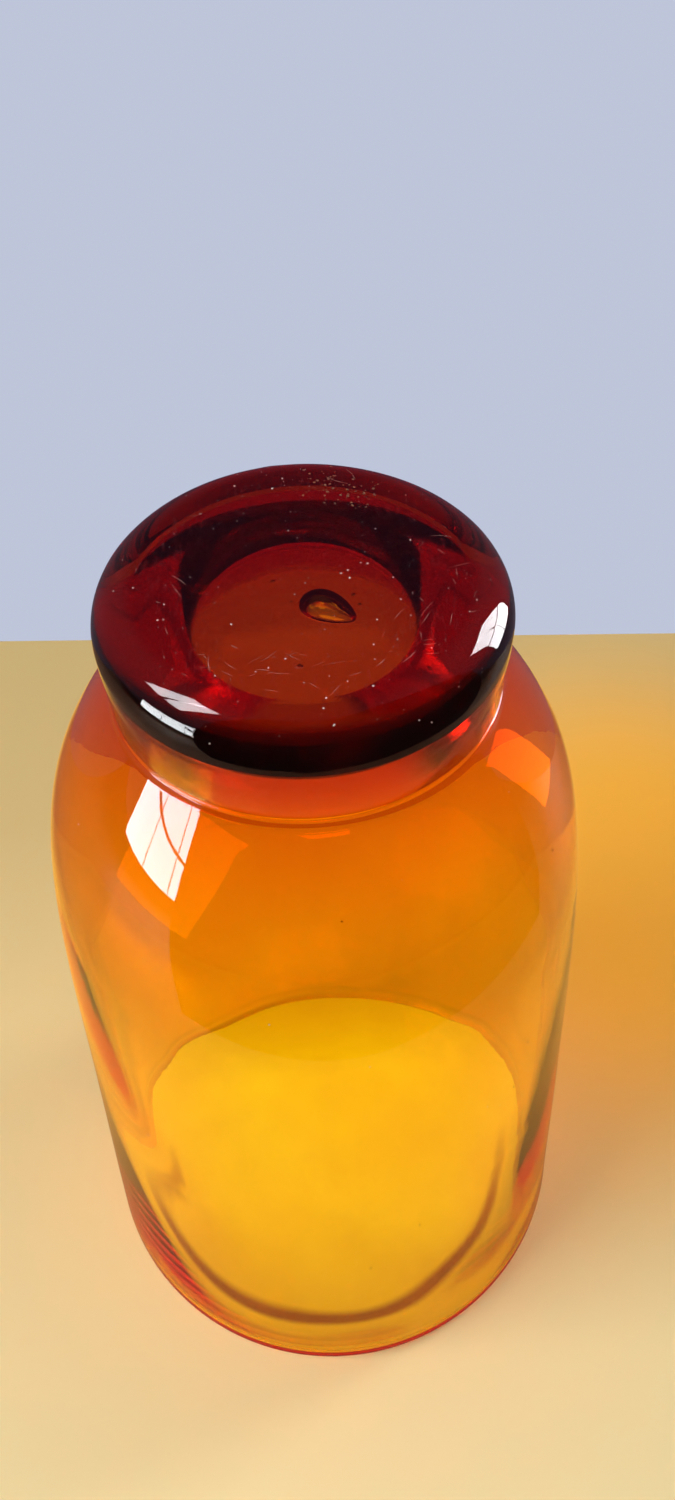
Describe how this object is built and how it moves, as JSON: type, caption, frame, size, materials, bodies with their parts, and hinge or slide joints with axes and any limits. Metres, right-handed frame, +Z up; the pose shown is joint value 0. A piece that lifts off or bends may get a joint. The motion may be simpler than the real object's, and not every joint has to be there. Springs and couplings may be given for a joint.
{
  "type": "specimen jar",
  "caption": "Round amber glass display jar with a long sloping shoulder, a tapered neck and a thick glass lid that lifts off.",
  "frame": {"origin": "middle of the jar's base, on the plane of the flat foot ring it stands on", "axes": "+Z up along the jar's axis of revolution, out through the mouth; X and Y are free because both pieces are turned shapes"},
  "size_m": [0.12, 0.12, 0.2103],
  "materials": {
    "amber_glass": "clear fire-polished amber glass, 3 to 4 mm thick, orange to yellow with the light behind it",
    "dark_amber_glass": "the same clear amber glass 11 mm thick, seen along up to 20 mm of it, so dark red to nearly black; smooth, lightly scratched on top"
  },
  "bodies": {
    "jar_body": {"jar": "amber_glass"},
    "lid_body": {"lid": "dark_amber_glass"}
  },
  "joints": [
    {"name": "lid_lift", "type": "slide", "parent": "jar_body", "child": "lid_body", "axis": [0, 0, 1], "range_m": [0, 0.11]}
  ]
}
